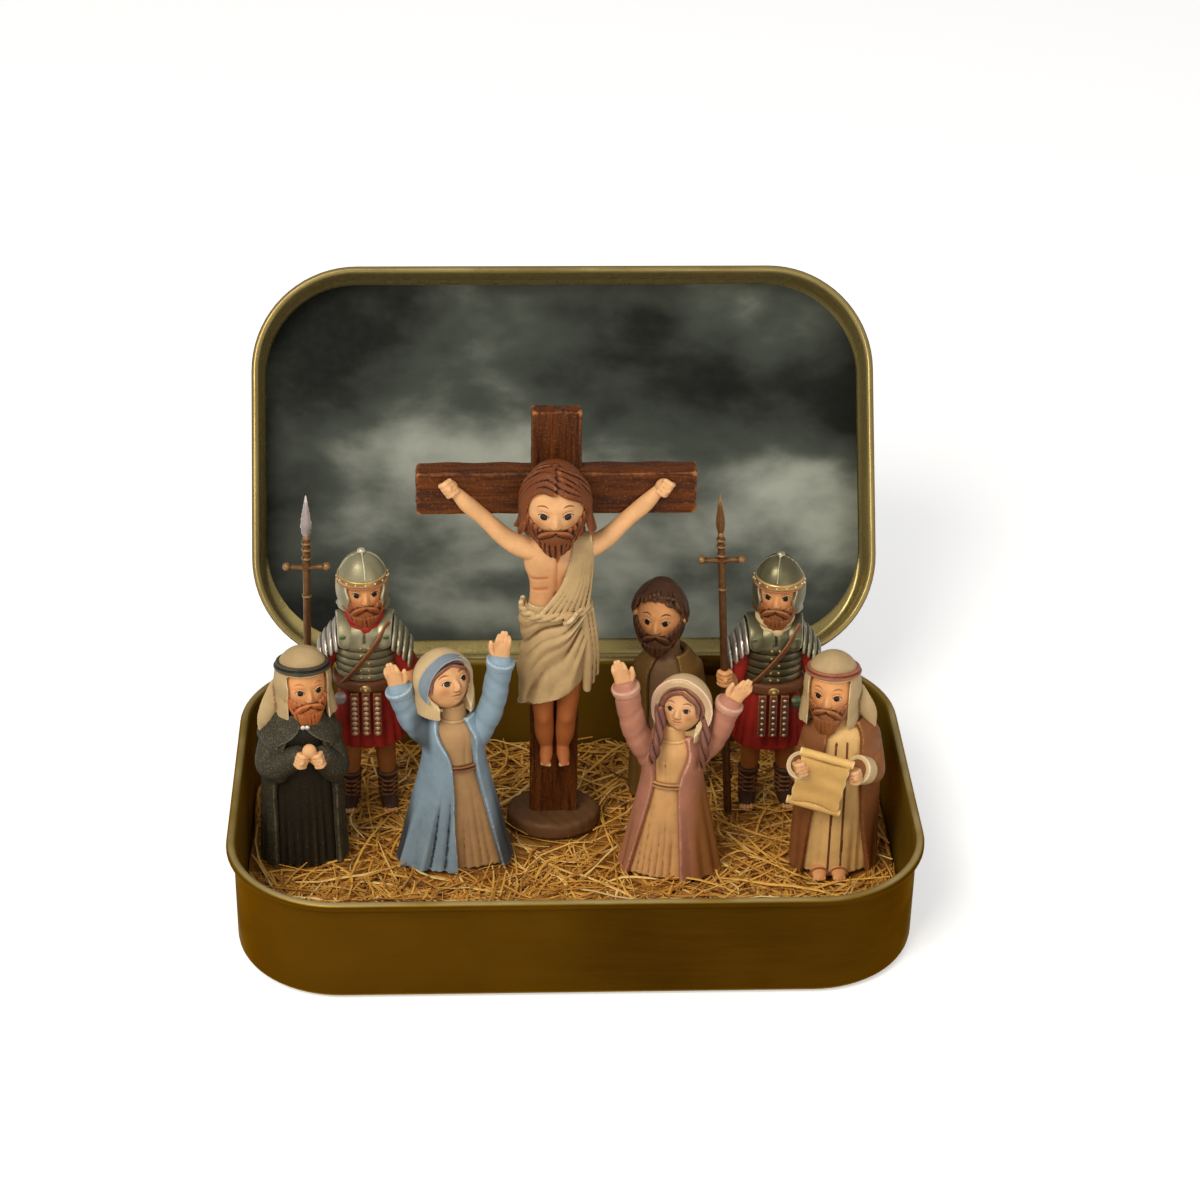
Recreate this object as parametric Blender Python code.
"""Pocket tin with a devotional scene: hinged tin, printed sky card, straw, crucifix and seven clay figures.

Sizes are in millimetres and become metres where a mesh is made. X runs along the tin, Y from its front
to its hinge, Z up. The origin lies on the resting face, under the middle of the base tray.
Run it with: blender --background --python part.py
"""
import math
from dataclasses import dataclass

import bmesh
import bpy
from mathutils import Matrix, Vector

MM = 0.001
GAP = 0.3            # clearance between two pieces that touch on the real object

# Base tray
TIN_WIDTH = 95.0
TIN_DEPTH = 61.0
BASE_HEIGHT = 16.3
CORNER_RADIUS = 15.8
SHEET = 0.4          # tinplate
BEAD = 1.4           # rolled rim of the base
BASE_EDGE = 1.4      # radius between wall and bottom

# Lid
LID_WIDTH = 93.6
LID_DEPTH = 59.6
LID_HEIGHT = 8.0
LID_BEAD = 1.1
LID_EDGE = 1.2
LID_LEAN = 34.0      # degrees past upright when it rests on its stop
LID_SEAT = 0.3       # closed, the lid's rim lies this far above the base's rim

# Hinge: two tabs of the lid curl through slots round the base's rear rim
TAB_WIDTH = 9.0
TAB_SPACING = 46.0
TAB_SHEET = 0.45
TAB_CLEARANCE = 0.45
TAB_WRAP = 235.0     # degrees that a tab curls round the rim

# Sky card
CARD_SHEET = 0.4
CARD_MARGIN = 0.7    # from the lid's wall
CARD_FOOT = 1.8      # further from the wall on the hinge side

# Straw
STRAW_TOP = 2.4
BANK_HEIGHT = 6.4    # heap behind the front wall, above the flat straw
BANK_DEPTH = 15.5
BANK_CREST = 3.2     # flat top of the heap

# Crucifix
CROSS_X = -2.5
CROSS_Y = 8.1
CROSS_HEIGHT = 66.9
UPRIGHT_WIDTH = 6.9
TIMBER = 2.4
BEAM_LENGTH = 38.0
BEAM_HEIGHT = 6.6
BEAM_DROP = 8.6      # from the upright's top to the beam's top
BEAM_SHIFT = 0.1
FOOT_WIDTH = 13.6
FOOT_DEPTH = 10.6
FOOT_HEIGHT = 2.3
FOOT_SOCKET = 1.7

# Spears
SHAFT = 1.2
BLADE_LENGTH = 7.4
BLADE_WIDTH = 2.3
CROSSBAR = 5.8

FOOT_Z = STRAW_TOP + GAP


@dataclass(frozen=True)
class Oval:
    """Stack of oval rings (z, half width, half depth, x, y), closed flat at both ends."""
    rings: tuple
    folds: int = 0
    fold_depth: float = 0.0
    fold_top: float = 15.0
    sides: int = 16
    nod: float = 0.0         # degrees that the front is raised, about the lowest ring's centre

    def mesh(self, grow=0.0):
        levels = []
        last = len(self.rings) - 1
        for index, ring in enumerate(self.rings):
            z, half_width, half_depth = ring[:3]
            x, y = ring[3:5] if len(ring) > 3 else (0.0, 0.0)
            z += -grow if index == 0 else grow if index == last else 0.0
            fade = max(0.0, 1.0 - ring[0] / self.fold_top) * self.fold_depth if self.folds else 0.0
            level = []
            for step in range(self.sides):
                turn = 2 * math.pi * step / self.sides
                swell = 1.0 - fade * (0.5 - 0.5 * math.cos(self.folds * turn))
                level.append(Vector((x + (half_width * swell + grow) * math.cos(turn),
                                     y + (half_depth * swell + grow) * math.sin(turn), z)))
            levels.append(level)
        mesh = loft(levels)
        if self.nod:
            hub = Vector((*self.rings[0][3:5], self.rings[0][0]))
            raised = Matrix.Rotation(math.radians(-self.nod), 3, "X")
            bmesh.ops.rotate(mesh, verts=mesh.verts, cent=hub, matrix=raised)
        return mesh


@dataclass(frozen=True)
class Ball:
    """Ellipsoid with three radii, tilted by degrees about X, Y and Z."""
    centre: tuple
    radii: tuple
    tilt: tuple = (0.0, 0.0, 0.0)
    sides: int = 12
    rows: int = 8

    def mesh(self, grow=0.0):
        mesh = bmesh.new()
        bmesh.ops.create_uvsphere(mesh, u_segments=self.sides, v_segments=self.rows, radius=1.0)
        size = Matrix.Diagonal([radius + grow for radius in self.radii] + [1.0])
        mesh.transform(placed(self.centre, self.tilt) @ size)
        return mesh


@dataclass(frozen=True)
class Limb:
    """Round tube through points, with a radius at each and flat ends."""
    points: tuple
    radii: tuple
    sides: int = 8
    flatten: float = 1.0     # thickness across the Y axis, as a share of the width

    def mesh(self, grow=0.0):
        points = [Vector(point) for point in self.points]
        levels = []
        side = None
        for index, point in enumerate(points):
            before = points[max(index - 1, 0)]
            after = points[min(index + 1, len(points) - 1)]
            along = (after - before).normalized()
            side = along.cross(Vector((0, 1, 0.001))) if side is None else side - along * side.dot(along)
            side.normalize()
            across = side.cross(along)
            shift = -grow if index == 0 else grow if index == len(points) - 1 else 0.0
            radius = self.radii[index] + grow
            thin = self.radii[index] * self.flatten + grow
            level = []
            for step in range(self.sides):
                turn = 2 * math.pi * (step + 0.5) / self.sides
                level.append(point + along * shift + side * radius * math.cos(turn)
                             + across * thin * math.sin(turn))
            levels.append(level)
        return loft(levels)


@dataclass(frozen=True)
class Block:
    """Box with a half width at its foot and one at its head, turned by degrees about X, Y and Z."""
    centre: tuple
    size: tuple
    head: float = 1.0        # width at the top, as a share of the width at the foot
    tilt: tuple = (0.0, 0.0, 0.0)

    def mesh(self, grow=0.0):
        mesh = bmesh.new()
        bmesh.ops.create_cube(mesh, size=1.0)
        for vertex in mesh.verts:
            share = self.head if vertex.co.z > 0 else 1.0
            vertex.co.x *= self.size[0] * share + 2 * grow
            vertex.co.y *= self.size[1] + 2 * grow
            vertex.co.z *= self.size[2] + 2 * grow
        mesh.transform(placed(self.centre, self.tilt))
        return mesh


@dataclass(frozen=True)
class Slit:
    """Front opening of a cloak: levels of (z, left edge, right edge)."""
    levels: tuple
    back: float = -0.4

    def mesh(self, grow=0.0):
        return loft([[Vector((x, y, z)) for x, y in ((left - grow, -15.0), (right + grow, -15.0),
                                                    (right + grow, self.back), (left - grow, self.back))]
                     for z, left, right in self.levels])


@dataclass(frozen=True)
class Person:
    """Sizes of one robed figure, from the underside of its hem."""
    name: str
    x: float
    y: float
    facing: float          # degrees that the face turns towards +X
    hem: tuple             # half width and half depth of the cloak at each height
    waist: tuple
    waist_z: float
    shoulder: tuple
    shoulder_z: float
    neck_z: float
    head: tuple            # head radii
    head_x: float
    head_z: float
    slit: Slit
    gaze: float = 0.0      # degrees that the face looks up
    cloak: float = 0.9     # thickness


ELDER = Person("elder", -38.0, 0.7, 20, (6.5, 5.0), (5.7, 4.7), 14.0, (5.4, 4.3), 21.0, 24.6,
               (3.2, 3.2, 4.2), 0.7, 28.7,
               Slit(((-1, -3.7, 5.1), (15, -3.6, 4.8), (19.5, -2.8, 4.5), (22.2, -0.7, 2.0), (23.2, 0.3, 0.9))))
BLUE = Person("blue_woman", -16.7, -0.9, 24, (8.5, 4.4), (4.5, 3.8), 17.2, (4.6, 3.7), 21.4, 24.8,
              (3.4, 3.4, 3.6), -1.3, 29.4, Slit(((-1, 0.6, 6.9), (17.2, -0.2, 3.3), (25.2, -2.2, 1.6))), 26)
PINK = Person("rose_woman", 13.7, -3.2, -22, (7.5, 4.9), (4.4, 3.9), 15.2, (4.6, 3.7), 19.4, 22.6,
              (2.8, 2.8, 3.2), 1.2, 26.3, Slit(((-1, -6.4, 1.3), (15.2, -3.1, 0.7), (23.0, -1.9, 1.7))), 24)
BROTHER = Person("brother", 14.0, 15.6, -14, (5.4, 4.4), (5.0, 4.1), 14.0, (5.1, 4.0), 20.6, 24.4,
                 (3.2, 3.2, 4.5), -1.3, 30.2, Slit(((-1, -3.4, 1.9), (21, -3.3, 1.9), (24.8, -1.7, 1.1))))
READER = Person("reader", 37.0, -2.7, -20, (6.4, 4.9), (5.9, 4.7), 14.0, (5.6, 4.3), 21.2, 24.8,
                (3.2, 3.2, 4.3), -1.6, 29.3,
                Slit(((-1, -5.0, 5.0), (10, -4.2, 3.0), (17, -3.2, 2.8), (21.5, -2.7, 2.5), (25.2, -1.5, 1.8))))


@dataclass(frozen=True)
class Guard:
    """Sizes of one soldier, from the soles of the boots."""
    name: str
    x: float
    y: float
    facing: float
    lift: float            # heights above the boots, less those of the left soldier
    head_x: float
    elbow: tuple           # of the arm that holds the spear
    fist: tuple            # on the spear
    spear_foot: tuple      # x, y of the shaft's foot
    spear_lean: float      # shift of the tip along X
    spear_height: float
    guard_z: float


LEFT_GUARD = Guard("left_soldier", -29.1, 13.2, 10, 0.0, -0.2, (-6.5, 0.2, 23.2), (-8.2, -2.6, 22.4),
                   (-8.7, -2.6), 1.3, 52.5, 41.0)
RIGHT_GUARD = Guard("right_soldier", 28.8, 13.2, -12, -1.0, 0.4, (-5.6, -1.2, 21.0), (-7.1, -3.7, 23.4),
                    (-5.8, -3.7), -3.1, 53.2, 42.3)

BOOT_Z = 6.6
SKIRT_Z = 11.6
APRON_Z = 14.8
BELT_Z = 21.4
CHEST_TOP_Z = 30.6
GUARD_HEAD = (3.1, 3.1, 4.2)
GUARD_HEAD_Z = 36.6
HELMET = 0.8         # thickness over the head

# Crucified figure, in the crucifix's own frame
TORSO_Y = -3.8
FEET_Z = 13.3
HIP_Z = 34.0
CHEST_Z = 45.6
SHOULDER_Z = 48.6
HAND_Z = 56.4
HAND_REACH = 14.4
SUFFERER_HEAD = (4.2, 3.8, 5.4)
SUFFERER_HEAD_Z = 55.4


def loft(levels):
    """Skins a stack of rings that have the same number of points, closed flat at both ends."""
    mesh = bmesh.new()
    count = len(levels[0])
    rows = [[mesh.verts.new(point) for point in level] for level in levels]
    for low, high in zip(rows, rows[1:]):
        for step in range(count):
            after = (step + 1) % count
            mesh.faces.new((low[step], low[after], high[after], high[step]))
    mesh.faces.new(rows[0][::-1])
    mesh.faces.new(rows[-1])
    bmesh.ops.recalc_face_normals(mesh, faces=mesh.faces)
    return mesh


def placed(centre, tilt):
    """Matrix that tilts about X, Y and Z in degrees and then moves to the centre."""
    turns = [Matrix.Rotation(math.radians(angle), 4, axis) for angle, axis in zip(tilt, "XYZ")]
    return Matrix.Translation(centre) @ turns[2] @ turns[1] @ turns[0]


def towards(angle, distance):
    """Point at a distance in front of a figure, turned by degrees towards +X."""
    turn = math.radians(angle)
    return distance * math.sin(turn), -distance * math.cos(turn)


class Model:
    """Collections, materials and the two ways that one solid changes another."""

    def __init__(self):
        for old in list(bpy.data.objects):
            bpy.data.objects.remove(old)
        self.parts = self.collection("passion_tin")
        self.tools = self.collection("cutters")

    def collection(self, name):
        made = bpy.data.collections.new(name)
        bpy.context.scene.collection.children.link(made)
        return made

    def material(self, name, colour, roughness, metallic):
        made = bpy.data.materials.new(name)
        made.use_nodes = True
        shader = made.node_tree.nodes["Principled BSDF"]
        shader.inputs["Base Color"].default_value = (*colour, 1.0)
        shader.inputs["Roughness"].default_value = roughness
        shader.inputs["Metallic"].default_value = metallic
        return made

    def object(self, name, mesh, collection, place):
        """Turns a bmesh in millimetres into an object in metres, on its place."""
        mesh.transform(Matrix.Scale(MM, 4))
        data = bpy.data.meshes.new(name)
        mesh.to_mesh(data)
        mesh.free()
        made = bpy.data.objects.new(name, data)
        collection.objects.link(made)
        made.parent = place
        return made

    def place(self, name, point, tilt=0.0):
        """Empty that carries the pieces of one assembly, tilted by degrees about X."""
        made = bpy.data.objects.new(name, None)
        made.location = Vector(point) * MM
        made.rotation_euler = (math.radians(tilt), 0, 0)
        made.empty_display_size = 5 * MM
        self.tools.objects.link(made)
        made.hide_render = True
        return made

    def tool(self, target, shape, operation, place, grow=0.0):
        """Adds or subtracts a shape, which stays as a hidden guide."""
        name = f"{target.name}_{operation.lower()}_{len(target.modifiers)}"
        made = self.object(name, shape.mesh(grow), self.tools, place)
        made.hide_render = True
        made.display_type = "WIRE"
        boolean = target.modifiers.new(name, "BOOLEAN")
        boolean.operation = operation
        boolean.solver = "EXACT"
        boolean.object = made

    def piece(self, name, finish, place, add, cut=(), clear=(), within=(), smooth=True):
        """Makes a node: the union of shapes inside others, less cut shapes and room for its neighbours."""
        made = self.object(name, add[0].mesh(), self.parts, place)
        made.data.materials.append(self.material(name, *finish))
        if smooth:
            made.data.shade_smooth()
            made.data.set_sharp_from_angle(angle=math.radians(40))
        for shape in add[1:]:
            self.tool(made, shape, "UNION", place)
        for shape in within:
            self.tool(made, shape, "INTERSECT", place)
        for shape in cut:
            self.tool(made, shape, "DIFFERENCE", place)
        for shape in clear:
            self.tool(made, shape, "DIFFERENCE", place, GAP)
        return made


# Finishes: colour, roughness, metallic
BRONZE = ((0.16, 0.10, 0.03), 0.38, 0.9)
SKY = ((0.16, 0.18, 0.17), 0.6, 0.0)
STRAW = ((0.62, 0.42, 0.14), 0.8, 0.0)
WOOD = ((0.20, 0.07, 0.035), 0.65, 0.0)
EARTH = ((0.18, 0.10, 0.05), 0.8, 0.0)
SKIN = ((0.72, 0.42, 0.24), 0.55, 0.0)
HAIR = ((0.16, 0.06, 0.03), 0.6, 0.0)
CREAM = ((0.68, 0.56, 0.40), 0.7, 0.0)
CHARCOAL = ((0.035, 0.035, 0.03), 0.75, 0.0)
BLACK = ((0.02, 0.015, 0.012), 0.6, 0.0)
CLOAK_BLUE = ((0.16, 0.27, 0.40), 0.7, 0.0)
CLOAK_PINK = ((0.42, 0.20, 0.17), 0.7, 0.0)
DRESS = ((0.50, 0.32, 0.19), 0.7, 0.0)
LEATHER = ((0.16, 0.07, 0.03), 0.6, 0.0)
OLIVE = ((0.14, 0.10, 0.05), 0.75, 0.0)
GREY = ((0.17, 0.13, 0.10), 0.75, 0.0)
BROWN = ((0.22, 0.09, 0.04), 0.7, 0.0)
PARCHMENT = ((0.68, 0.50, 0.27), 0.7, 0.0)
RED = ((0.30, 0.03, 0.02), 0.7, 0.0)
ARMOUR = ((0.36, 0.35, 0.28), 0.35, 0.8)
BRASS = ((0.34, 0.22, 0.11), 0.45, 0.6)


class RoundedTray:
    """Pressed tray of rounded rectangle plan with a rolled rim, mouth up."""

    def __init__(self, width, depth, height, radius, bead, edge, sheet, floor_z, centre_y=0.0):
        self.width, self.depth, self.radius = width, depth, radius
        self.height, self.bead, self.edge, self.sheet = height, bead, edge, sheet
        self.floor_z, self.centre_y = floor_z, centre_y

    def outline(self, inset, z, steps=5):
        """Rounded rectangle at an inset from the rim's outer edge."""
        radius = max(self.radius - inset, 0.5)
        reach_x = self.width / 2 - inset - radius
        reach_y = self.depth / 2 - inset - radius
        points = []
        for quarter, (side_x, side_y) in enumerate(((1, 1), (-1, 1), (-1, -1), (1, -1))):
            for step in range(steps + 1):
                turn = math.pi / 2 * (quarter + step / steps)
                points.append(Vector((side_x * reach_x + radius * math.cos(turn),
                                      side_y * reach_y + radius * math.sin(turn) + self.centre_y, z)))
        return points

    def profile(self):
        """Inset and height of each ring, from the outer bottom over the rim to the inner bottom."""
        top = self.floor_z + self.height
        overhang = self.bead - self.sheet
        inner_edge = max(self.edge - self.sheet, 0.2)
        roll = self.bead / 2
        points = []
        for step in range(3):
            turn = math.pi / 2 * step / 2
            points.append((overhang + self.edge * (1 - math.sin(turn)),
                           self.floor_z + self.edge * (1 - math.cos(turn))))
        underside = 2 * math.pi - math.acos((overhang - roll) / roll)
        roll_steps = 6
        for step in range(roll_steps + 1):
            turn = underside * (1 - step / roll_steps)
            points.append((roll + roll * math.cos(turn), top - roll + roll * math.sin(turn)))
        for step in range(3):
            turn = math.pi / 2 * step / 2
            points.append((self.bead + inner_edge * (1 - math.cos(turn)),
                           self.floor_z + self.sheet + inner_edge * (1 - math.sin(turn))))
        return points

    def mesh(self, grow=0.0):
        return loft([self.outline(inset - grow, z) for inset, z in self.profile()])

    def slab(self, inset, low, high):
        """Flat plate of the tray's plan, with its edges at an inset."""
        return Plate([self.outline(inset, low), self.outline(inset, high)])


class Plate:
    """Loft through ready-made rings."""

    def __init__(self, levels):
        self.levels = levels

    def mesh(self, grow=0.0):
        return loft(self.levels)


class HingeTab:
    """Curl of sheet that goes from the lid's rim round the base's rear rim."""

    def __init__(self, x, start):
        self.x, self.start = x, start

    def mesh(self, grow=0.0):
        inner = BEAD / 2 + TAB_CLEARANCE
        outer = inner + TAB_SHEET
        steps = 12
        section = []
        for radius, order in ((outer, range(steps + 1)), (inner, range(steps, -1, -1))):
            for step in order:
                turn = math.radians(self.start - TAB_WRAP * step / steps)
                section.append((radius * math.cos(turn), radius * math.sin(turn)))
        sides = [[Vector((x, y, z)) for y, z in section]
                 for x in (self.x - TAB_WIDTH / 2, self.x + TAB_WIDTH / 2)]
        return loft(sides)


class Tin:
    """Base tray, straw, lid with its tabs and sky card."""

    def __init__(self, model):
        self.model = model
        self.base = RoundedTray(TIN_WIDTH, TIN_DEPTH, BASE_HEIGHT, CORNER_RADIUS, BEAD, BASE_EDGE, SHEET, 0.0)
        self.axis = (0.0, TIN_DEPTH / 2 - BEAD / 2, BASE_HEIGHT - BEAD / 2)
        self.tab_places = (-TAB_SPACING / 2, TAB_SPACING / 2)

    def build(self):
        self.build_base()
        self.build_straw()
        self.build_lid()

    def build_base(self):
        place = self.model.place("tin_place", (0, 0, 0))
        tab_outer = BEAD / 2 + TAB_CLEARANCE + TAB_SHEET
        high = self.axis[2] - BEAD * 0.34
        low = self.axis[2] - tab_outer - GAP
        slots = [Block((x, self.axis[1] - BEAD / 2, (low + high) / 2),
                       (TAB_WIDTH + 2 * GAP, BEAD * 1.1, high - low)) for x in self.tab_places]
        self.model.piece("tin_base", BRONZE, place, [self.base], cut=slots)

    def build_straw(self):
        """Flat mat under the figures and a low heap behind the front wall."""
        place = self.model.place("straw_place", (0, 0, 0))
        inset = BEAD + GAP + BASE_EDGE - SHEET
        mat_rings = [self.base.outline(inset, SHEET + GAP),
                     self.base.outline(BEAD + GAP, SHEET + GAP + 0.7),
                     self.base.outline(BEAD + GAP, STRAW_TOP - 0.4),
                     self.base.outline(BEAD + GAP + 0.4, STRAW_TOP)]
        self.model.piece("straw_mat", STRAW, place, [Plate(mat_rings)])
        low = STRAW_TOP + GAP
        high = low + BANK_HEIGHT
        front = -TIN_DEPTH / 2 + BEAD + GAP
        crest = front + BANK_CREST
        foot = front + BANK_DEPTH
        whole = self.base.slab(BEAD + GAP + 0.2, low, high)
        slope = math.degrees(math.atan2(BANK_HEIGHT - 0.8, foot - crest))
        length = 3 * BANK_DEPTH
        behind = Block((0, foot + TIN_DEPTH / 2, low), (2 * TIN_WIDTH, TIN_DEPTH, 4 * BANK_HEIGHT))
        turn = math.radians(slope)
        lift = BANK_HEIGHT
        centre = (0, (crest + foot) / 2 + lift * math.sin(turn),
                  low + (BANK_HEIGHT + 0.8) / 2 + lift * math.cos(turn))
        above = Block(centre, (2 * TIN_WIDTH, length, 2 * lift), tilt=(-slope, 0, 0))
        self.model.piece("straw_bank", STRAW, place, [whole], cut=[behind, above])

    def build_lid(self):
        place = self.model.place("lid_hinge", self.axis, 90.0 - LID_LEAN)
        rim_z = -(BEAD / 2 + LID_SEAT)
        near = GAP
        tray = RoundedTray(LID_WIDTH, LID_DEPTH, LID_HEIGHT, CORNER_RADIUS, LID_BEAD, LID_EDGE, SHEET,
                           rim_z - LID_HEIGHT, near + LID_DEPTH / 2)
        bead_angle = math.degrees(math.atan2(rim_z - LID_BEAD / 2, near + LID_BEAD / 2))
        tabs = [HingeTab(x, bead_angle) for x in self.tab_places]
        self.model.piece("tin_lid", BRONZE, place, [tray] + tabs)
        panel = tray.floor_z + SHEET
        sheet = RoundedTray(LID_WIDTH, LID_DEPTH - CARD_FOOT, LID_HEIGHT, CORNER_RADIUS, LID_BEAD, LID_EDGE,
                            SHEET, panel, tray.centre_y + CARD_FOOT / 2)
        card = sheet.slab(LID_BEAD + CARD_MARGIN, panel + GAP, panel + GAP + CARD_SHEET)
        self.model.piece("sky_card", SKY, place, [card], smooth=False)


class Crucifix:
    """Standing cross in a round foot, with the clay figure on its front."""

    def __init__(self, model):
        self.model = model
        self.place = model.place("crucifix_place", (CROSS_X, CROSS_Y, FOOT_Z))

    def build(self):
        self.build_cross()
        self.build_figure()

    def build_cross(self):
        low = FOOT_HEIGHT - FOOT_SOCKET
        upright = Block((0, 0, (low + CROSS_HEIGHT) / 2), (UPRIGHT_WIDTH, TIMBER, CROSS_HEIGHT - low))
        beam_z = CROSS_HEIGHT - BEAM_DROP - BEAM_HEIGHT / 2
        beam = Block((BEAM_SHIFT, 0, beam_z), (BEAM_LENGTH, TIMBER, BEAM_HEIGHT))
        half = TIMBER / 2
        lap = Block((BEAM_SHIFT, -half, beam_z), (BEAM_LENGTH, TIMBER + GAP, BEAM_HEIGHT + 2 * GAP))
        notch = Block((0, half, beam_z), (UPRIGHT_WIDTH + 2 * GAP, TIMBER + GAP, 2 * BEAM_HEIGHT))
        foot = Oval(((0.0, FOOT_WIDTH / 2, FOOT_DEPTH / 2), (FOOT_HEIGHT * 0.7, FOOT_WIDTH / 2, FOOT_DEPTH / 2),
                     (FOOT_HEIGHT, FOOT_WIDTH / 2 - 0.6, FOOT_DEPTH / 2 - 0.6)), sides=20)
        self.model.piece("cross_upright", WOOD, self.place, [upright], cut=[lap], smooth=False)
        self.model.piece("cross_beam", WOOD, self.place, [beam], cut=[notch], smooth=False)
        self.model.piece("cross_foot", EARTH, self.place, [foot], clear=[upright])

    def build_figure(self):
        y = TORSO_Y
        front = -TIMBER / 2 - GAP
        torso = Oval(((HIP_Z - 4.0, 3.6, 1.9, 0, y), (HIP_Z, 3.9, 2.1, 0, y), (CHEST_Z - 4, 3.7, 2.0, 0, y),
                      (CHEST_Z, 4.4, 2.1, 0, y), (SHOULDER_Z, 3.9, 1.8, 0, y), (SHOULDER_Z + 1.6, 1.8, 1.4, 0, y)),
                     sides=14)
        arms = [Limb(((side * 2.2, y, SHOULDER_Z - 1.4), (side * 6.2, y + 0.5, SHOULDER_Z - 0.2),
                      (side * 9.6, y + 0.9, SHOULDER_Z + 2.9), (side * (HAND_REACH - 0.5), y + 1.0, HAND_Z - 0.5)),
                     (1.5, 1.35, 1.2, 0.95), sides=6) for side in (-1, 1)]
        fists = [Ball((side * HAND_REACH, y + 1.0, HAND_Z), (1.6, 1.3, 1.6), sides=8, rows=6)
                 for side in (-1, 1)]
        legs = [Limb(((side * 1.9, y, HIP_Z - 2), (side * 1.8, y - 0.2, 24.0), (side * 1.4, y + 0.3, 18.0),
                      (side * 1.15, y + 0.6, FEET_Z + 1.0)), (1.9, 1.6, 1.25, 1.1), sides=6) for side in (-1, 1)]
        feet = [Ball((side * 1.2, y - 0.6, FEET_Z + 0.9), (1.15, 1.9, 1.1), tilt=(28, 0, 0), sides=8, rows=6)
                for side in (-1, 1)]
        heels = Block((0, y + 0.9, FEET_Z + 3.2), (1.6, 1.2, 3.6))
        timber = Block((0, TIMBER / 2, CROSS_HEIGHT / 2), (4 * HAND_REACH, 2 * TIMBER, 2 * CROSS_HEIGHT))
        self.model.piece("crucified_body", SKIN, self.place, [torso] + arms + fists + legs + feet + [heels],
                         clear=[timber])
        head_y = front - SUFFERER_HEAD[1] - 1.0
        head = Ball((-0.3, head_y, SUFFERER_HEAD_Z), SUFFERER_HEAD, tilt=(8, 0, 0))
        beard = Ball((-0.3, head_y - 1.4, SUFFERER_HEAD_Z - 3.9), (2.7, 2.2, 3.0), tilt=(8, 0, 0), sides=10, rows=6)
        bare = [torso] + arms
        self.model.piece("crucified_head", SKIN, self.place, [head, beard], clear=bare)
        cap = Ball((-0.3, head_y + 0.6, SUFFERER_HEAD_Z + 0.7),
                   (SUFFERER_HEAD[0] + 1.1, SUFFERER_HEAD[1] + 0.9, SUFFERER_HEAD[2] + 0.9), sides=14, rows=8)
        locks = [Limb(((side * 4.5 - 0.3, head_y + 0.9, SUFFERER_HEAD_Z + 1.0),
                       (side * 4.8 - 0.3, head_y + 0.6, SUFFERER_HEAD_Z - 3.0),
                       (side * 4.1 - 0.3, head_y - 0.2, SUFFERER_HEAD_Z - 6.4)), (1.2, 1.2, 0.8), sides=6)
                 for side in (-1, 1)]
        face = Ball((-0.3, head_y - 4.0, SUFFERER_HEAD_Z - 1.8), (3.8, 4.6, 5.2), sides=12, rows=8)
        self.model.piece("crucified_hair", HAIR, self.place, [cap] + locks, cut=[face],
                         clear=[head, beard, timber] + bare)
        waist = Oval(((22.4, 4.4, 2.6, -0.6, y), (28.0, 4.5, 2.8, -0.2, y), (HIP_Z, 5.0, 3.1, 0, y),
                      (38.2, 4.9, 3.0, 0, y), (40.0, 4.4, 2.7, 0, y)), sides=16)
        slant = Block((0, y, 20.6), (30, 30, 8.0), tilt=(0, -25, 0))
        sash = Limb(((-1.6, y - 2.4, 38.4), (1.6, y - 2.7, 41.6), (3.3, y - 1.9, 46.0), (3.7, y - 0.2, 49.8),
                     (3.5, y + 1.0, 47.0)), (2.0, 2.2, 1.9, 1.6, 1.2), sides=6, flatten=0.5)
        tail = Limb(((4.0, y - 0.6, 38.0), (4.5, y - 0.4, 31.0), (4.4, y - 0.2, 25.6)), (1.3, 1.2, 0.9), sides=6)
        self.model.piece("crucified_wrap", CREAM, self.place, [waist, sash, tail], cut=[slant],
                         clear=[torso, head, beard, timber] + arms + legs + locks)


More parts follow.
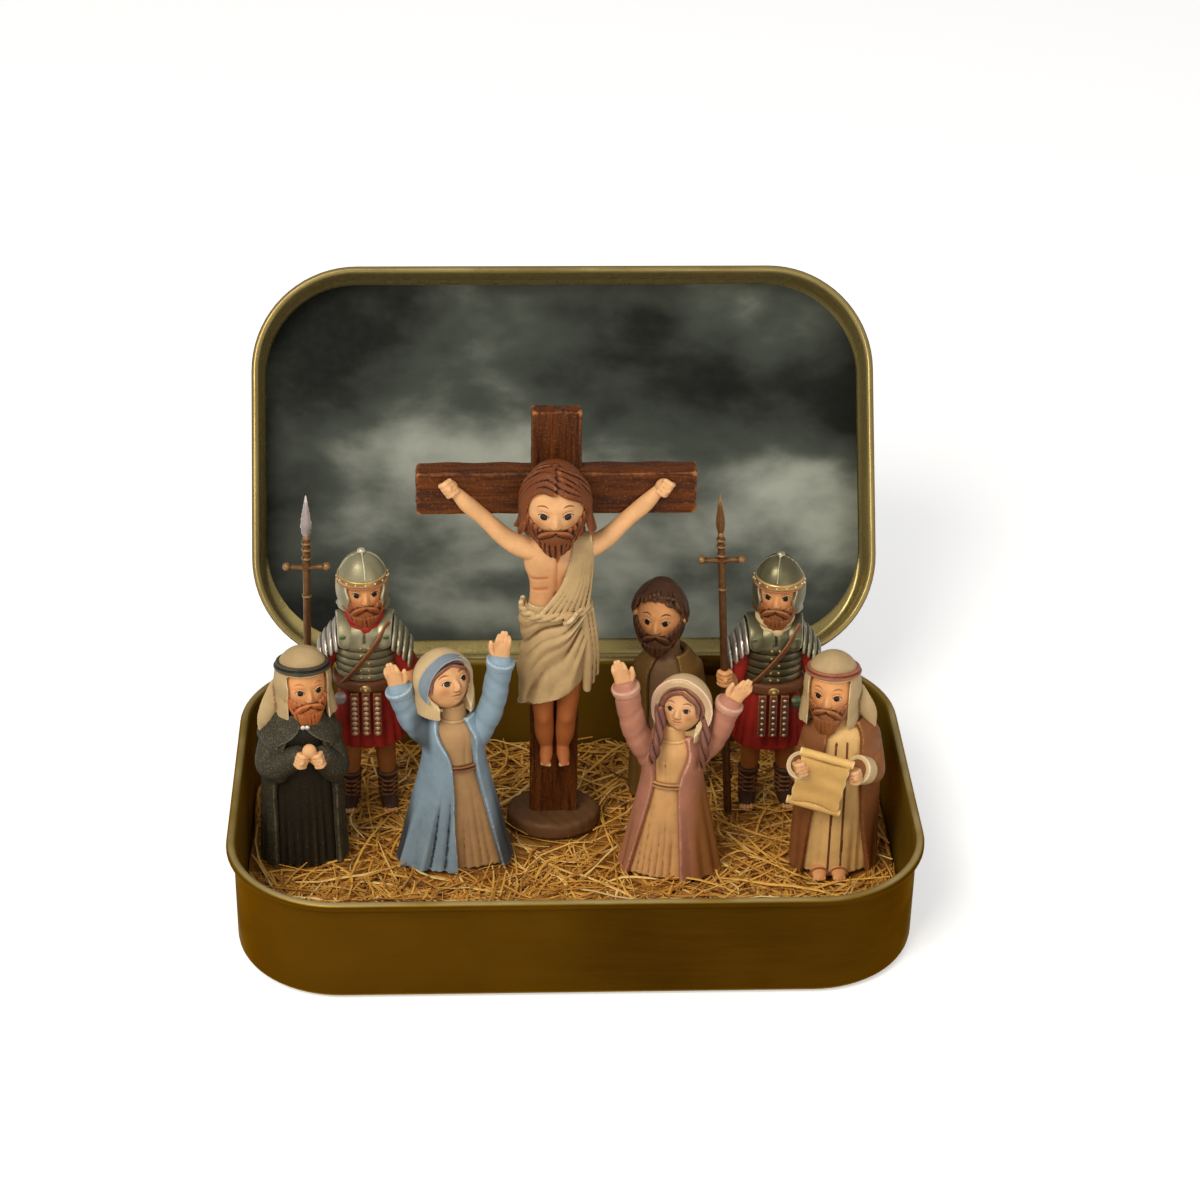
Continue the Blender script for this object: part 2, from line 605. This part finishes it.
class RobedFigure:
    """What the robed figures share: inner robe, cloak, head and headcloth."""

    def __init__(self, model, size):
        self.model, self.size = model, size
        self.place = model.place(size.name + "_place", (size.x, size.y, FOOT_Z))

    def add(self, piece, finish, shapes, **others):
        self.model.piece(f"{self.size.name}_{piece}", finish, self.place, shapes, **others)

    def outer(self):
        """Outline of the cloak."""
        s = self.size
        middle = [(a + b) / 2 for a, b in zip(s.hem, s.waist)]
        slope = (s.shoulder_z + s.neck_z) / 2 + 0.3
        return Oval(((0.0, *s.hem), (s.waist_z * 0.5, *middle), (s.waist_z, *s.waist), (s.shoulder_z, *s.shoulder),
                     (slope, s.shoulder[0] * 0.8, s.shoulder[1] * 0.85), (s.neck_z, 2.7, 2.6)), sides=16)

    def inner(self, fold_depth):
        """Outline of the robe under the cloak, with the neck."""
        s = self.size
        thin = s.cloak + GAP
        low, waist, shoulder = ([value - thin for value in pair] for pair in (s.hem, s.waist, s.shoulder))
        return Oval(((0.0, *low), (s.waist_z, *waist), (s.shoulder_z, *shoulder), (s.neck_z - 0.9, 1.9, 1.8),
                     (s.neck_z + 0.9, 1.6, 1.6)), 8, fold_depth, s.waist_z, 16)

    def head(self, beard=None):
        """Head with a nose, and the beard as part of it where the figure has one."""
        s = self.size
        x, y = towards(s.facing, math.cos(math.radians(s.gaze)))
        up = math.sin(math.radians(s.gaze)) - 0.1
        reach = s.head[1]
        shapes = [Ball((s.head_x, 0, s.head_z), s.head),
                  Ball((s.head_x + x * reach, y * reach, s.head_z + up * reach), (0.55, 0.7, 0.6), sides=6, rows=4)]
        if beard:
            shapes.append(Ball((s.head_x + x * reach * 0.42, y * reach * 0.42, s.head_z - s.head[2] * 0.62), beard,
                               tilt=(0, 0, s.facing), sides=10, rows=6))
        return shapes

    def cap(self, thick, gap=GAP):
        """Outer shape of what covers the head, thick millimetres over it."""
        s = self.size
        return Ball((s.head_x, 0.3, s.head_z + 0.2), [radius + gap + thick for radius in s.head], sides=12, rows=8)

    def drape(self, thick, drop, flare):
        """Cloth that hangs from the cap to the shoulders."""
        s = self.size
        wide, deep = s.head[0] + GAP + thick - 0.1, s.head[1] + GAP + thick - 0.1
        return Oval(((s.head_z - drop, wide + flare, deep + flare * 0.4, s.head_x, 0.9),
                     (s.head_z + 0.1, wide, deep, s.head_x, 0.4)), sides=12)

    def band(self, low, high, thick=0.75):
        """Cord round the headcloth, between two heights over the middle of the head, higher at the brow."""
        s = self.size
        cloth = [radius + GAP + 0.8 for radius in s.head]
        rings = []
        for z, swell in ((low, 0.1), (low + 0.3, thick), (high - 0.3, thick), (high, 0.1)):
            share = math.sqrt(1 - ((z - 0.2) / cloth[2]) ** 2)
            rings.append((s.head_z + z, cloth[0] * share + swell, cloth[1] * share + swell, s.head_x, 0.3))
        return Oval(tuple(rings), nod=12)

    def square_window(self, half_width, brow):
        """Opening for face and beard, straight at the brow."""
        s = self.size
        x, y = towards(s.facing, 5.4)
        return Block((s.head_x + x, y, s.head_z + brow - 8.0), (2 * half_width, 9.0, 16.0), tilt=(0, 0, s.facing))

    def round_window(self, half_width, half_height, drop):
        """Opening for the face, round at the brow."""
        s = self.size
        reach = s.head[1] + 0.6
        x, y = towards(s.facing, reach * math.cos(math.radians(s.gaze)))
        up = reach * math.sin(math.radians(s.gaze))
        return Ball((s.head_x + x, y, s.head_z + up - drop), (half_width, 3.6, half_height),
                    tilt=(-s.gaze, 0, s.facing), sides=12, rows=8)

    def sleeve(self, side, elbow, wrist, radii=(2.0, 1.9, 1.9)):
        s = self.size
        return Limb(((side * (s.shoulder[0] - 1.7), 0.0, s.shoulder_z - 1.0), elbow, wrist), radii, sides=8)


class PrayingWoman(RobedFigure):
    """Woman in dress, cloak and veil, with both arms raised."""

    def __init__(self, model, size, finish, veil_finish, wrists, tips, belt_z, locks=()):
        super().__init__(model, size)
        self.finish, self.veil_finish = finish, veil_finish
        self.wrists, self.tips, self.belt_z, self.locks = wrists, tips, belt_z, locks

    def build(self):
        s = self.size
        dress = self.inner(0.08)
        sleeves = []
        for side, wrist in zip((-1, 1), self.wrists):
            root = Vector((side * (s.shoulder[0] - 1.7), 0, s.shoulder_z - 1.0))
            elbow = root.lerp(Vector(wrist), 0.45) + Vector((side * 0.7, 0, -0.6))
            sleeves.append(self.sleeve(side, tuple(elbow), wrist, (2.1, 1.8, 1.95)))
        outer = self.outer()
        self.add("dress", DRESS, [dress])
        self.add("cloak", self.finish, [outer] + sleeves, cut=[s.slit], clear=[dress] + self.head())
        self.add("head", SKIN, self.head(), clear=[dress])
        self.build_belt(dress)
        locks = [Limb(points, (0.9, 1.0, 0.9, 0.5), sides=6) for points in self.locks]
        under = self.head() + [dress, outer] + sleeves
        if locks:
            hair = [self.cap(0.5)] + locks
            self.add("hair", HAIR, hair, cut=[self.round_window(2.7, 3.7, 0.9)], clear=under)
            under = under + hair
        thick = 0.5 + GAP + 0.5 if locks else 0.7
        veil = [self.cap(thick), self.drape(thick, s.head[2] + 0.9, -0.3 if locks else 0.2)]
        window = self.round_window(s.head[0] - 0.1, s.head[2] + 1.2, 1.4)
        self.add("veil", self.veil_finish, veil, cut=[window, self.square_window(2.2, -0.6)], clear=under)
        self.build_hands()

    def build_belt(self, dress):
        """Belt across the front opening."""
        s = self.size
        share = self.belt_z / s.waist_z
        wide, deep = (low + (high - low) * share - s.cloak + 0.35 for low, high in zip(s.hem, s.waist))
        low, high = s.slit.levels[0], s.slit.levels[1]
        part = (self.belt_z - low[0]) / (high[0] - low[0])
        left = low[1] + (high[1] - low[1]) * part + GAP
        right = low[2] + (high[2] - low[2]) * part - GAP
        strap = Block(((left + right) / 2, -3.4, self.belt_z), (right - left, 6.0, 1.7))
        band = Oval(((self.belt_z - 2, wide, deep), (self.belt_z + 2, wide, deep)), sides=16)
        self.add("belt", LEATHER, [strap], within=[band], clear=[dress], smooth=False)

    def build_hands(self):
        """Mitten hands, with a thumb on the inner side."""
        for name, side, wrist, tip in zip(("left", "right"), (-1, 1), self.wrists, self.tips):
            wrist, tip = Vector(wrist), Vector(tip)
            along = (tip - wrist).normalized()
            start = wrist + along * GAP
            palm = Limb((start, start.lerp(tip, 0.5), tip), (0.9, 1.35, 0.55), flatten=0.6)
            inner = Vector((-side, -0.2, 0.0))
            root = start.lerp(tip, 0.22)
            thumb = Limb((root, root + inner * 1.5 + along * 1.6), (0.55, 0.4), sides=6)
            self.add(f"{name}_hand", SKIN, [palm, thumb])


class Elder(RobedFigure):
    """Bearded man with folded hands and a corded headcloth."""

    def __init__(self, model):
        super().__init__(model, ELDER)

    def build(self):
        s = self.size
        robe = self.inner(0.12)
        hands_x, hands_y, hands_z = 1.6, -5.0, 19.6
        sleeves = [self.sleeve(side, (side * 4.3 + 0.4, -2.6, 16.6),
                               (hands_x + side * 1.6, hands_y + 0.5, hands_z - 0.4), (1.9, 2.1, 1.7))
                   for side in (-1, 1)]
        collar = Oval(((20.2, 5.9, 4.7), (21.6, 5.6, 4.4), (24.8, 2.9, 2.8)), sides=12)
        head = self.head((2.7, 2.2, 3.2))
        outer = self.outer()
        fists = [Ball((hands_x + side * 1.05, hands_y - 0.6, hands_z), (1.45, 1.2, 1.25), sides=8, rows=6)
                 for side in (-1, 1)]
        fists.append(Ball((hands_x, hands_y - 0.6, hands_z + 1.5), (1.1, 1.1, 1.2), sides=8, rows=6))
        self.add("robe", BLACK, [robe] + sleeves)
        self.add("cloak", CHARCOAL, [outer, collar], cut=[s.slit], clear=[robe] + sleeves + head)
        self.add("head", SKIN, head, clear=[robe])
        cap = self.cap(0.8)
        tails = [Limb(((s.head_x - 4.3, 0.2, s.head_z - 1), (s.head_x - 5.2, -0.2, s.head_z - 4.4),
                       (-5.6, -0.4, 22.0)), (0.9, 1.2, 0.7), sides=6)]
        self.add("scarf", CREAM, [cap, self.drape(0.8, 4.9, 0.7)] + tails, cut=[self.square_window(2.9, 2.3)],
                 clear=head + [outer, collar, robe])
        self.add("band", BLACK, [self.band(1.3, 2.7)], clear=[cap])
        self.add("hands", SKIN, fists, clear=sleeves)


class Reader(RobedFigure):
    """Bearded man in a headcloth who holds an open scroll."""

    def __init__(self, model):
        super().__init__(model, READER)

    def build(self):
        s = self.size
        tilt = (6, 17, -14)
        centre = Vector((-3.3, -6.2, 17.9))
        sheet = Block(centre, (6.8, 0.7, 8.4), tilt=tilt)
        turn = placed(centre, tilt)
        rolls = [Limb((turn @ Vector((-3.7, y, z)), turn @ Vector((3.7, y, z))), (0.75, 0.75))
                 for y, z in ((0.3, 4.3), (0.2, -4.3))]
        scroll = [sheet] + rolls
        sleeves = [self.sleeve(-1, (-5.2, -2.4, 16.8), (-5.8, -4.0, 19.0), (1.9, 1.8, 1.6)),
                   self.sleeve(1, (4.3, -2.7, 17.0), (2.4, -4.4, 18.6), (1.9, 1.7, 1.6))]
        tunic = self.inner(0.05)
        feet = [Ball((x, -4.2, 0.9), (1.25, 1.9, 0.9), sides=8, rows=6) for x in (-2.4, 0.4)]
        head = self.head((2.7, 2.2, 3.6))
        outer = self.outer()
        self.add("tunic", CREAM, [tunic] + feet)
        self.add("cloak", BROWN, [outer] + sleeves, cut=[s.slit], clear=[tunic] + feet + head + scroll)
        self.add("head", SKIN, head, clear=[tunic])
        cap = self.cap(0.8)
        tail = Limb(((s.head_x + 4.3, 0.2, s.head_z - 1), (s.head_x + 5.2, 0.0, s.head_z - 4.2), (4.4, -0.2, 23.6)),
                    (0.9, 1.2, 0.7), sides=6)
        self.add("scarf", CREAM, [cap, self.drape(0.8, 5.2, 0.5), tail], cut=[self.square_window(2.9, 2.4)],
                 clear=head + [outer, tunic])
        self.add("band", BROWN, [self.band(1.6, 2.7)], clear=[cap])
        self.add("scroll", PARCHMENT, scroll, smooth=False)
        hands = (("left", Ball((-6.0, -5.9, 20.0), (1.4, 1.2, 1.3), sides=8, rows=6)),
                 ("right", Ball((1.3, -6.1, 18.8), (1.4, 1.2, 1.3), sides=8, rows=6)))
        for name, hand in hands:
            self.add(f"{name}_hand", SKIN, [hand], clear=scroll + sleeves)


class Brother(RobedFigure):
    """Bearded man who stands behind the cross with his arms down."""

    def __init__(self, model):
        super().__init__(model, BROTHER)

    def build(self):
        s = self.size
        tunic = self.inner(0.06)
        arms = [Limb(((side * 3.6, -0.2, 21.4), (side * 4.0, -1.2, 15.4), (side * 3.4, -2.3, 10.6)), (1.6, 1.5, 1.3))
                for side in (-1, 1)]
        head = self.head((2.8, 2.2, 3.4))
        self.add("tunic", GREY, [tunic])
        self.add("robe", OLIVE, [self.outer()] + arms, cut=[s.slit], clear=[tunic] + head)
        self.add("head", SKIN, head, clear=[tunic])
        window = self.square_window(2.7, 2.2)
        locks = [Limb(((s.head_x + side * 3.4, 0.5, s.head_z + 0.5), (s.head_x + side * 3.4, 0.7, s.head_z - 3.0),
                       (s.head_x + side * 2.6, 1.0, s.head_z - 5.0)), (0.9, 0.9, 0.6), sides=6) for side in (-1, 1)]
        self.add("hair", HAIR, [self.cap(0.8)] + locks, cut=[window], clear=head + [self.outer(), tunic])


class GuardFigure:
    """Soldier with cuirass, belt with studded strips, helmet and spear."""

    def __init__(self, model, size):
        self.model, self.size = model, size
        self.place = model.place(size.name + "_place", (size.x, size.y, FOOT_Z))

    def add(self, piece, finish, shapes, **others):
        self.model.piece(f"{self.size.name}_{piece}", finish, self.place, shapes, **others)

    def build(self):
        s = self.size
        up = s.lift
        torso = Oval(((BELT_Z - 3 + up, 3.7, 2.7), (BELT_Z + 1 + up, 3.6, 2.6), (26.4 + up, 4.0, 2.9),
                      (CHEST_TOP_Z - 1.4 + up, 3.6, 2.6), (CHEST_TOP_Z + up, 1.9, 1.8),
                      (CHEST_TOP_Z + 2.4 + up, 1.5, 1.5)), sides=12)
        skirt = Oval(((SKIRT_Z + up, 5.3, 4.0), (BELT_Z - 1 + up, 3.9, 2.9)), sides=12)
        legs = [Limb(((side * 2.3, 0.2, SKIRT_Z + 2 + up), (side * 2.6, 0.2, BOOT_Z), (side * 2.7, 0.2, 0.2)),
                     (1.7, 1.45, 1.55), sides=6) for side in (-1, 1)]
        shoes = [Ball((side * 2.9, -1.4, 1.15), (1.6, 2.9, 1.15), tilt=(0, 0, side * 12), sides=8, rows=6)
                 for side in (-1, 1)]
        spear_arm = Limb(((-4.0, 0.1, 28.0 + up), s.elbow, s.fist), (1.7, 1.5, 1.2), sides=6)
        other_arm = Limb(((4.0, 0.1, 28.0 + up), (6.1, -0.2, 23.2 + up), (5.2, -2.6, 19.6 + up)),
                         (1.7, 1.5, 1.2), sides=6)
        fists = [Ball(s.fist, (1.5, 1.5, 1.5), sides=8, rows=6),
                 Ball((5.0, -3.0, 19.0 + up), (1.3, 1.3, 1.3), sides=8, rows=6)]
        shaft, blade, bar = self.spear()
        spear = [shaft]
        arms = [spear_arm, other_arm]
        self.add("body", RED, [torso, skirt] + legs + shoes + arms + fists, clear=spear)
        self.build_armour(torso, skirt, arms + fists + spear)
        self.build_head(torso)
        self.add("spear", BRASS, [shaft, blade, bar])

    def spear(self):
        s = self.size
        x, y = s.spear_foot
        foot = Vector((x, y, 0.0))
        tip = Vector((x + s.spear_lean, y, s.spear_height))
        at = [foot.lerp(tip, share) for share in (0, 1 - BLADE_LENGTH / s.spear_height, 1)]
        shaft = Limb((at[0], at[1].lerp(at[2], 0.2)), (SHAFT / 2, SHAFT / 2))
        blade = Limb((at[1], at[1].lerp(at[2], 0.35), at[2]), (0.5, BLADE_WIDTH / 2, 0.08), sides=6, flatten=0.35)
        middle = foot.lerp(tip, s.guard_z / s.spear_height)
        reach = Vector((CROSSBAR / 2, 0, 0))
        ends = Vector((0.7, 0, 0))
        bar = Limb((middle - reach, middle - reach + ends, middle - reach * 0.3, middle + reach * 0.3,
                    middle + reach - ends, middle + reach), (0.65, 0.42, 0.4, 0.4, 0.42, 0.65), sides=6)
        return shaft, blade, bar

    def build_armour(self, torso, skirt, limbs):
        up = self.size.lift
        shell = Oval(((BELT_Z + 1.6 + up, 4.3, 3.3), (26.2 + up, 4.9, 3.8), (29.2 + up, 4.5, 3.5),
                      (CHEST_TOP_Z + 0.2 + up, 2.9, 2.8)), sides=12)
        plates = [Ball((side * 4.3, 0.1, 28.3 + up), (2.6, 2.7, 2.5), tilt=(0, side * 24, 0), sides=8, rows=6)
                  for side in (-1, 1)]
        trim = [Block((side * 10.4, 0, 24.6 + up), (10, 30, 4.0), tilt=(0, side * 14, 0)) for side in (-1, 1)]
        self.add("cuirass", ARMOUR, [shell] + plates, cut=trim, clear=[torso] + limbs)
        belt = Oval(((BELT_Z - 0.5 + up, 4.7, 3.7), (BELT_Z + 1.1 + up, 4.6, 3.6)), sides=12)
        strips = [Block((x, -4.2, (APRON_Z + BELT_Z) / 2 + up), (1.35, 0.9, BELT_Z - APRON_Z), tilt=(-6.8, 0, 0))
                  for x in (-1.75, 0.0, 1.75)]
        self.add("apron", LEATHER, [belt] + strips, clear=[torso, skirt] + limbs)

    def build_head(self, torso):
        s = self.size
        z = GUARD_HEAD_Z + s.lift
        x, y = towards(s.facing, 1.0)
        head = [Ball((s.head_x, 0, z), GUARD_HEAD),
                Ball((s.head_x + x * 3.1, y * 3.1, z - 0.5), (0.5, 0.65, 0.55), sides=6, rows=4),
                Ball((s.head_x + x * 1.4, y * 1.4, z - 2.5), (2.5, 2.1, 2.9), tilt=(0, 0, s.facing), sides=10, rows=6)]
        self.add("head", SKIN, head, clear=[torso])
        radii = [radius + GAP + HELMET for radius in GUARD_HEAD]
        dome = Ball((s.head_x, 0.1, z + 0.3), radii, sides=12, rows=8)
        brim = Oval(((z + 1.4, 4.4, 4.5, s.head_x, 0.0), (z + 2.6, 4.3, 4.4, s.head_x, 0.0)), sides=12)
        nape = Oval(((z - 3.4, 3.9, 3.4, s.head_x, 1.6), (z - 1.6, 3.9, 3.6, s.head_x, 0.5)), sides=12)
        knob = Ball((s.head_x, 0.1, z + radii[2] + 0.3), (0.7, 0.7, 0.5), sides=6, rows=4)
        reach = 5.6
        window = Block((s.head_x + x * reach, y * reach, z - 6.2), (5.0, 9.0, 16.0), tilt=(0, 0, s.facing))
        self.add("helmet", ARMOUR, [dome, brim, nape, knob], cut=[window], clear=head + [torso])


def main():
    model = Model()
    Tin(model).build()
    Crucifix(model).build()
    Elder(model).build()
    PrayingWoman(model, BLUE, CLOAK_BLUE, CREAM, ((-7.3, -0.6, 28.4), (6.5, -0.6, 32.8)),
                 ((-8.7, -0.8, 33.0), (7.1, -0.8, 38.0)), 17.0).build()
    PrayingWoman(model, PINK, CLOAK_PINK, CREAM, ((-6.8, -0.6, 29.9), (7.4, -0.6, 27.1)),
                 ((-8.2, -0.8, 34.6), (10.2, -0.8, 31.2)), 15.4,
                 locks=(((-2.0, -0.7, 26.9), (-2.2, -2.6, 24.2), (-2.8, -3.6, 22.0), (-3.1, -3.8, 19.4)),
                        ((4.3, -0.7, 26.9), (4.2, -2.6, 24.2), (3.9, -3.6, 21.8), (3.8, -3.5, 18.4)))).build()
    Brother(model).build()
    Reader(model).build()
    GuardFigure(model, LEFT_GUARD).build()
    GuardFigure(model, RIGHT_GUARD).build()


main()
